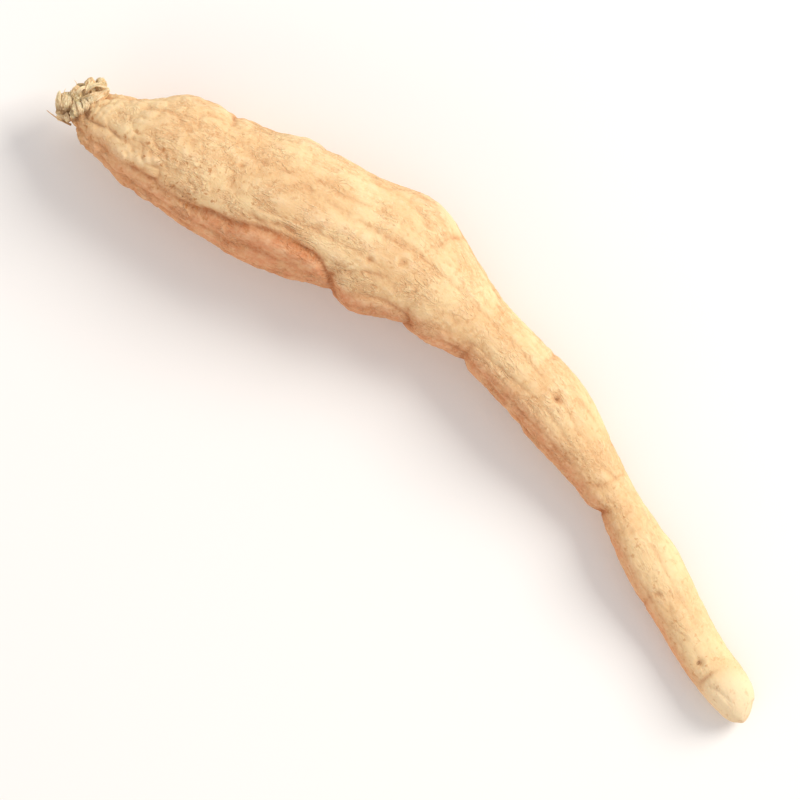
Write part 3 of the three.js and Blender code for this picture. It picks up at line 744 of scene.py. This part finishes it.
knot = {
    "buds": [  # centre from the crown's end on the axis, half sizes, turn about Z
        ((-0.78, -0.3, 0.1), (0.58, 0.5, 0.56), 12),
        ((-0.5, -0.75, -0.1), (0.5, 0.34, 0.5), 30),
        ((-0.45, 0.3, 0.4), (0.62, 0.34, 0.42), -14),
        ((-0.25, 0.95, 0.2), (0.58, 0.36, 0.42), -38),
        ((-0.05, 1.35, -0.1), (0.5, 0.3, 0.38), -50),
        ((-0.55, 0.35, -0.35), (0.6, 0.72, 0.4), 0),
        ((0.25, 0.55, 0.78), (0.24, 1.0, 0.32), -8),
        ((-0.1, 0.25, 0.1), (0.62, 1.05, 0.62), -10),  # stump that the others sit on
    ],
    "budRings": 44,
    "budSides": 72,
    "pucker": {"height": 0.26, "perSize": 1.6, "seed": 23},
    "folds": {"height": 0.16, "perSize": 4.2, "seed": 61, "mean": 0.55},
    "strands": {
        "count": 22, "height": 0.13, "sway": 2.1, "swaySize": 2.2, "seed": 67, "mean": 0.7,
    },
    "shadeReach": 0.14,
    # Painted shade of a bud: power of the shade where other buds are near, mm below for full
    # shade in its folds and its share, how much darker the dark buds are, and mm above for a full
    # painted highlight on a ridge
    "budTone": {"power": 1.7, "deep": 0.12, "share": 0.55, "dark": 0.5, "high": 0.08},
    "darkBuds": (1, 5),
    "scales": [  # base, tip, bulge, half width, half thickness, cup, seed
        ((-0.35, 0.0, 0.62), (0.42, 1.52, 0.55), (0.02, 0.05, 0.42), 0.2, 0.06, 0.5, 1),
        ((-0.32, 0.3, 0.62), (0.32, 1.58, 0.55), (-0.3, 0.2, 0.3), 0.17, 0.06, 0.5, 2),
        ((-0.45, 0.2, 0.7), (-0.45, 1.0, 0.66), (-0.2, 0.0, 0.2), 0.13, 0.05, 0.5, 3),
        ((-0.25, 0.45, 0.72), (-0.62, 1.2, 0.5), (0.0, 0.1, 0.2), 0.11, 0.045, 0.5, 4),
        ((0.0, 1.0, 0.5), (-0.3, 1.62, 0.3), (-0.05, 0.1, 0.12), 0.1, 0.045, 0.5, 5),
        ((0.0, -0.7, 0.35), (-0.75, -1.12, 0.2), (-0.1, -0.14, 0.1), 0.18, 0.05, 0.4, 6),
        ((-0.1, 0.2, -0.4), (-1.1, 0.35, -0.6), (0.0, 0.1, -0.18), 0.26, 0.05, 0.4, 7),
        ((0.0, 0.9, -0.3), (-0.8, 1.25, -0.45), (0.0, 0.2, -0.1), 0.2, 0.05, 0.4, 8),
        ((0.3, 0.0, 1.08), (-0.3, 0.34, 0.85), (0.02, 0.06, 0.2), 0.17, 0.08, 0.3, 9),
        ((0.26, -0.24, 1.06), (-0.4, 0.06, 0.8), (0.0, 0.04, 0.22), 0.15, 0.07, 0.3, 10),
        ((0.35, 0.46, 1.04), (-0.2, 0.72, 0.85), (0.0, 0.0, 0.18), 0.16, 0.08, 0.3, 11),
        ((0.14, -0.48, 0.96), (-0.46, -0.12, 0.72), (0.0, 0.03, 0.24), 0.17, 0.08, 0.3, 12),
        ((0.06, -0.72, 0.8), (-0.36, -0.36, 0.5), (0.0, -0.02, 0.26), 0.14, 0.07, 0.3, 13),
        ((-0.04, -0.95, 0.58), (-0.48, -0.7, 0.4), (0.0, -0.06, 0.18), 0.13, 0.06, 0.3, 14),
    ],
    # Shape of a scale: its width is a sine between margins of its length, and its edge is
    # ragged and its faces ribbed by a share
    "leaf": {
        "narrowest": 0.12, "margin": 0.04, "early": 0.8, "fullness": 0.7, "upward": 0.1,
        "ragged": {"share": 0.35, "along": 7, "across": 1.5, "seed": 71},
        "ribs": {"share": 0.35, "waves": 7, "sway": 2, "swayAlong": 3, "swayAcross": 2},
        "plain": 0.6, "thinMargin": 0.05, "thinPower": 0.5,
    },
    # Painted shade of a scale: the shade under it, a level between its ribs that the ribs lessen,
    # the shade at its base, and a painted highlight on its ribs
    "leafTone": {
        "under": 0.8, "power": 3, "level": 0.36, "perRib": 1.5,
        "base": 0.9, "baseFrom": 0.05, "baseTo": 0.4, "ridgePerRib": 2.4,
    },
    # Upright strands side by side over the largest bud: upright and aside are directions in
    # the plane, and foot, width, head and rise vary from a least share by a spread
    "husk": {
        "centre": (-0.76, -0.26, 0.32),
        "upright": (-0.6714, 0.7411, 0.0),
        "aside": (0.7411, 0.6714, 0.0),
        "count": 8, "apart": 0.15, "length": 1.05, "rise": 0.4, "droop": 0.35, "lean": 0.16,
        "halfWidth": 0.1, "thickness": 0.06, "cup": 0.3, "seed": 83, "firstScale": 20,
        "varied": ((0.4, 0.12), (0.8, 0.4), (0.4, 0.16), (0.75, 0.4)),
    },
    "scaleRings": 40,
    "scaleSides": 36,
    "fibres": [  # start, end, bulge, radius, darkness
        ((0.1, -1.0, 0.35), (-1.25, -1.27, 0.5), (0.0, -0.06, 0.1), 0.06, 1.0),
        ((-0.9, -0.2, 0.55), (-1.25, 0.15, 0.75), (-0.1, 0.0, 0.1), 0.03, 0.5),
        ((-0.75, -0.55, 0.5), (-1.2, -0.75, 0.35), (-0.05, -0.05, 0.12), 0.03, 0.5),
        ((-0.3, 1.2, 0.55), (0.05, 1.75, 0.75), (-0.12, 0.1, 0.12), 0.035, 0.5),
        ((-0.5, 0.75, 0.6), (-0.7, 1.35, 0.72), (-0.1, 0.0, 0.15), 0.028, 0.5),
        ((-0.8, 0.4, 0.2), (-1.28, 0.75, 0.1), (0.0, 0.1, 0.1), 0.03, 0.5),
    ],
    "fibreRings": 24,
    "fibreSides": 8,
    "fibreTaper": 0.7,
    "fibreFade": 0.25,  # it is paler at its end
    "acrossFibres": (0.3, 0.2, 0.9),  # a direction that no fibre runs in
}


def crownPoint():
    # Start of the axis, which the places in the knot are measured from
    return axisPoint(np.array(skin["crownEnd"]))


def turned(points, degrees):
    # Points turned about Z
    cosine, sine = np.cos(np.radians(degrees)), np.sin(np.radians(degrees))
    x, y, z = points[..., 0], points[..., 1], points[..., 2]
    return np.stack([cosine * x - sine * y, sine * x + cosine * y, z], axis=-1)


def knotShade(points, own=None):
    # Dark where a point is close to or inside another bud: its distance is taken as the
    # scaled radius less one, times the bud's smallest half size
    nearest = np.full(points.shape[:-1], 9.0)
    for i, (centre, half, turn) in enumerate(knot["buds"]):
        if i == own:
            continue
        local = turned(points - crownPoint() - np.array(centre), -turn) / np.array(half)
        nearest = np.minimum(nearest, (np.linalg.norm(local, axis=-1) - 1) * min(half))
    return np.exp(-np.maximum(nearest, 0) / knot["shadeReach"])


def budPart(index):
    # Ellipsoid with its pole across the root; its radius is one plus a broad pucker, finer
    # folds, and ridges along the meridians that sway with noise
    centre, half, turn = knot["buds"][index]
    pucker, folds, strands, tone = [knot[key] for key in ("pucker", "folds", "strands", "budTone")]
    polar = np.linspace(0, np.pi, knot["budRings"] + 2)[1:-1, None]
    around = fullTurn(knot["budSides"])
    x, y = np.sin(polar) * np.cos(around), np.cos(polar) + 0 * around
    z = np.sin(polar) * np.sin(around)
    size = pucker["perSize"]
    radius = 1 + pucker["height"] * noise(x * size + turn, y * size, z * size, pucker["seed"])
    size = folds["perSize"]
    fine = noise(x * size + turn, y * size, z * size, folds["seed"])
    fine = np.sqrt(np.abs(fine)) - folds["mean"]
    size = strands["swaySize"]
    sway = strands["sway"] * noise(x * size, y * size, z * size, strands["seed"] + index)
    ridges = np.sin(around * strands["count"] / 2 + sway + polar)
    ridges = np.sqrt(np.abs(ridges)) - strands["mean"]
    relief = folds["height"] * fine + strands["height"] * ridges * np.sin(polar)
    direction = np.stack([x, y, z], axis=-1)
    local = direction * (radius + relief)[..., None] * np.array(half)
    points = turned(local, turn) + crownPoint() + np.array(centre)
    # Painted shade where other buds are near and in its folds, more on the dark buds
    darkAndPaintedShade = knotShade(points, index) ** tone["power"]
    darkAndPaintedShade += np.clip(-relief / tone["deep"], 0, 1) * tone["share"]
    darkAndPaintedShade += tone["dark"] * (index in knot["darkBuds"])
    apart = 7  # mm, so that no two buds have the same stretch of the patterns
    place = np.stack([local[..., 1] + index * apart, local[..., 0], local[..., 2]], axis=-1)
    layers = {
        "skinPlace": place,
        "darkAndPaintedShade": np.clip(darkAndPaintedShade, 0, 1),
        # painted highlight on raised relief
        "ridgeHighlight": np.clip(relief / tone["high"], 0, 1),
        "rough": 1 + 0 * relief,
    }
    return closedGrid(points, layers)


def alongPath(start, end, bulge, share):
    # Path that bows out by the bulge in the middle, and its unit heading
    start, end, bulge = [np.array(v) for v in (start, end, bulge)]
    path = start + (end - start) * share + bulge * np.sin(np.pi * share)
    heading = (end - start) + bulge * np.pi * np.cos(np.pi * share)
    return path + crownPoint(), unit(heading)


def scalePart(base, tip, bulge, halfWidth, thickness, cup, seed):
    # Leaf-like scale carried along a bowed path: its section is a flat oval, wide in the
    # middle of its length, cupped at the edges, ragged and ribbed by noise
    leaf, tone = knot["leaf"], knot["leafTone"]
    ragged, ribs = leaf["ragged"], leaf["ribs"]
    share = np.linspace(0, 1, knot["scaleRings"])[:, None, None]
    around = fullTurn(knot["scaleSides"])
    path, heading = alongPath(base, tip, bulge, share)
    outward = np.array(bulge) + np.array([0, 0, leaf["upward"]])
    sideways = unit(np.cross(outward, heading))
    outward = np.cross(heading, sideways)
    share = share[..., 0]
    inner = share * (1 - 2 * leaf["margin"]) + leaf["margin"]
    full = np.sin(np.pi * inner ** leaf["early"]) ** leaf["fullness"]
    across = halfWidth * (leaf["narrowest"] + (1 - leaf["narrowest"]) * full) * np.cos(around)
    sway = noise(share * ribs["swayAlong"], across * ribs["swayAcross"], 0 * around, seed)
    rib = np.sin(across / halfWidth * ribs["waves"] + ribs["sway"] * sway)
    rib = ribs["share"] * np.abs(rib)
    thin = share * (1 - 2 * leaf["thinMargin"]) + leaf["thinMargin"]
    thick = thickness * (np.sin(around) * (leaf["plain"] + rib))
    thick *= np.sin(np.pi * thin) ** leaf["thinPower"]
    edge = np.cos(around) * ragged["across"]
    edge = noise(share * ragged["along"], edge, 0 * around + seed, ragged["seed"])
    aside = across * (1 + ragged["share"] * edge)
    lift = cup * across**2 / halfWidth + thick
    points = path + sideways * aside[..., None] + outward * lift[..., None]
    length = np.linalg.norm(np.array(tip) - np.array(base))
    # Painted shade under the scale, between its ribs and at its base
    darkAndPaintedShade = tone["under"] * knotShade(points) ** tone["power"] * (thick < 0)
    darkAndPaintedShade = darkAndPaintedShade + tone["level"] - tone["perRib"] * rib
    darkAndPaintedShade += tone["base"] * (1 - ramp(share, tone["baseFrom"], tone["baseTo"]))
    apart = 5  # mm, so that no two scales have the same stretch of the patterns
    layers = {
        "skinPlace": np.stack([share * length + 0 * around + seed * apart, across, thick], axis=-1),
        "darkAndPaintedShade": np.clip(darkAndPaintedShade, 0, 1),
        # painted highlight on its ribs
        "ridgeHighlight": np.clip(rib * tone["ridgePerRib"], 0, 1) * (thick > 0),
        "rough": 1 + 0 * thick,
    }
    return closedGrid(points, layers)


def huskScales():
    # The strands as scales, each varied by four values drawn by a seed
    husk = knot["husk"]
    centre, upright, aside = [np.array(husk[key]) for key in ("centre", "upright", "aside")]
    for i in range(husk["count"]):
        place = (i - (husk["count"] - 1) / 2) * husk["apart"]
        values = [drawn(i, j, 0, husk["seed"]) for j in range(4)]
        below, width, above, rise = [
            least + spread * value for (least, spread), value in zip(husk["varied"], values)
        ]
        foot = centre + aside * place - upright * husk["length"] * below
        head = centre + aside * (place + husk["lean"] * (values[1] - 0.5))
        head += upright * husk["length"] * above
        bulge = (0.0, 0.0, husk["rise"] * rise - husk["droop"] * place**2)
        halfWidth, seed = husk["halfWidth"] * width, husk["firstScale"] + i
        yield foot, head, bulge, halfWidth, husk["thickness"], husk["cup"], seed


def fibrePart(start, end, bulge, radius, darkness):
    # Thin tapered thread along a bowed path
    share = np.linspace(0, 1, knot["fibreRings"])[:, None, None]
    around = fullTurn(knot["fibreSides"])
    path, heading = alongPath(start, end, bulge, share)
    first = unit(np.cross(heading, np.array(knot["acrossFibres"])))
    second = np.cross(heading, first)
    share = share[..., 0] + 0 * around
    size = radius * (1 - knot["fibreTaper"] * share)
    y, z = size * np.cos(around), size * np.sin(around)
    points = path + first * y[..., None] + second * z[..., None]
    length = np.linalg.norm(np.array(end) - np.array(start))
    layers = {
        "skinPlace": np.stack([share * length, y, z], axis=-1),
        "darkAndPaintedShade": darkness - knot["fibreFade"] * share,
        "ridgeHighlight": 0 * share,
        "rough": 0 * share,
    }
    return closedGrid(points, layers)


def makeKnot():
    # All buds, scales, strands and fibres as one part
    parts = [budPart(i) for i in range(len(knot["buds"]))]
    parts += [scalePart(*scale) for scale in [*knot["scales"], *huskScales()]]
    parts += [fibrePart(*fibre) for fibre in knot["fibres"]]
    return joined(parts)


# Dried bud scales: straw-coloured fibrous husk, with a painted highlight on its ribs and painted
# shade in its gaps
knotFinish = {
    **skinFinish,
    "cream": "#ffe7b0",
    "tan": "#fac890",
    # painted highlight on ribs and ridges
    "ridgeHighlight": "#fff3d0",
    # painted shade in gaps and folds, and the colour of dark fibres and buds
    "fold": "#8f5a2e",
    "line": "#d9a961",
    "patterns": {
        **skinFinish["patterns"], "patches": (0.7, 2.0, 0.5), "mottle": (0.25, 4.0, 0.6),
    },
    "crackle": {
        "broadLines": (0.7, 0.12, 0.08, 5.0, 0.02),
        "fineLines": (0.3, 0.1, 0.08, 13.0, 0.012),
    },
}

print("skin of the root")
skinPart = makeSkin()
# The axis lines start at the crown, and the frame's box tells where they stand
home = np.array([
    rootHigh.x / metresPerMm - skinPart[0][:, 0].max() - skin["blunt"]["short"],
    rootHigh.y / metresPerMm - skinPart[0][:, 1].max(),
    0.0,
])
print("place of the crown", home)
rootSkin = makePiece("rootSkin", skinPart, home, makeSkinMaterial("driedRootSkin", skinFinish))
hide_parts("root")
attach(rootSkin, "root")

print("crown knot")
crownKnot = makePiece("crownKnot", makeKnot(), home, makeSkinMaterial("driedBudScale", knotFinish))
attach(crownKnot, "root")


# Floor, light and camera

stage = {
    "floorSize": 0.9,
    "floorColour": "#f4f2ef",
    "floorDrop": 0.00001,
    "skyColour": "#f3f5fa",
    "skyStrength": 0.7,
    "keyPower": 0.86,
    "lightSize": 0.16,
    "lightDistance": 0.32,
    "keyColour": "#fffaf2",
    "keyFrom": (0.3, 0.85, 0.72),
    "fillPower": 0.2,
    "fillColour": "#ffd9b4",
    "fillFrom": (-0.1, -0.85, 0.45),
}
view = {
    "pictureRight": (0.7411, 0.6714, 0.0),
    "pictureUp": (-0.6714, 0.7411, 0.0),
    "lookAt": (-0.0005, -0.0036, 0.003),
    "width": 0.0395,  # of the picture at that point
    "distance": 0.22,
    "sensor": 36.0,  # mm
    "clip": (0.005, 5.0),
}


def makeFloor():
    material, tree = newMaterial("mattPaintedBoard")
    links = {
        "Base Color": colour(stage["floorColour"]), "Roughness": 0.9, "Specular IOR Level": 0.2,
    }
    shader = addNode(tree, "ShaderNodeBsdfPrincipled", {}, links)
    addNode(tree, "ShaderNodeOutputMaterial", {}, {"Surface": shader})
    half = stage["floorSize"] / 2
    mesh = bpy.data.meshes.new("floor")
    corners = [(-half, -half), (half, -half), (half, half), (-half, half)]
    mesh.from_pydata([(x, y, -stage["floorDrop"]) for x, y in corners], [], [(0, 1, 2, 3)])
    mesh.materials.append(material)
    floor = bpy.data.objects.new("floor", mesh)
    bpy.context.scene.collection.objects.link(floor)


def makeLight():
    world = bpy.data.worlds.new("softRoom")
    world.use_nodes = True
    world.node_tree.nodes.clear()
    links = {"Color": colour(stage["skyColour"]), "Strength": stage["skyStrength"]}
    sky = addNode(world.node_tree, "ShaderNodeBackground", {}, links)
    addNode(world.node_tree, "ShaderNodeOutputWorld", {}, {"Surface": sky})
    bpy.context.scene.world = world
    for name in ("key", "fill"):
        light = bpy.data.lights.new(name, "AREA")
        light.energy = stage[name + "Power"]
        light.size = stage["lightSize"]
        light.color = colour(stage[name + "Colour"])[:3]
        lamp = bpy.data.objects.new(name, light)
        toLight = Vector(stage[name + "From"]).normalized()
        lamp.location = toLight * stage["lightDistance"]
        lamp.rotation_mode = "QUATERNION"
        lamp.rotation_quaternion = toLight.to_track_quat("Z", "Y")
        bpy.context.scene.collection.objects.link(lamp)


def makeCamera():
    lens = bpy.data.cameras.new("camera")
    lens.sensor_width = view["sensor"]
    lens.lens = lens.sensor_width * view["distance"] / view["width"]
    lens.clip_start, lens.clip_end = view["clip"]
    camera = bpy.data.objects.new("camera", lens)
    right, up = Vector(view["pictureRight"]), Vector(view["pictureUp"])
    back = right.cross(up)
    turn = Matrix((right, up, back)).transposed().to_4x4()
    turn.translation = Vector(view["lookAt"]) + back * view["distance"]
    camera.matrix_world = turn
    bpy.context.scene.collection.objects.link(camera)
    bpy.context.scene.camera = camera


print("floor, light and camera")
makeFloor()
makeLight()
makeCamera()
bpy.context.scene.view_settings.view_transform = "Standard"
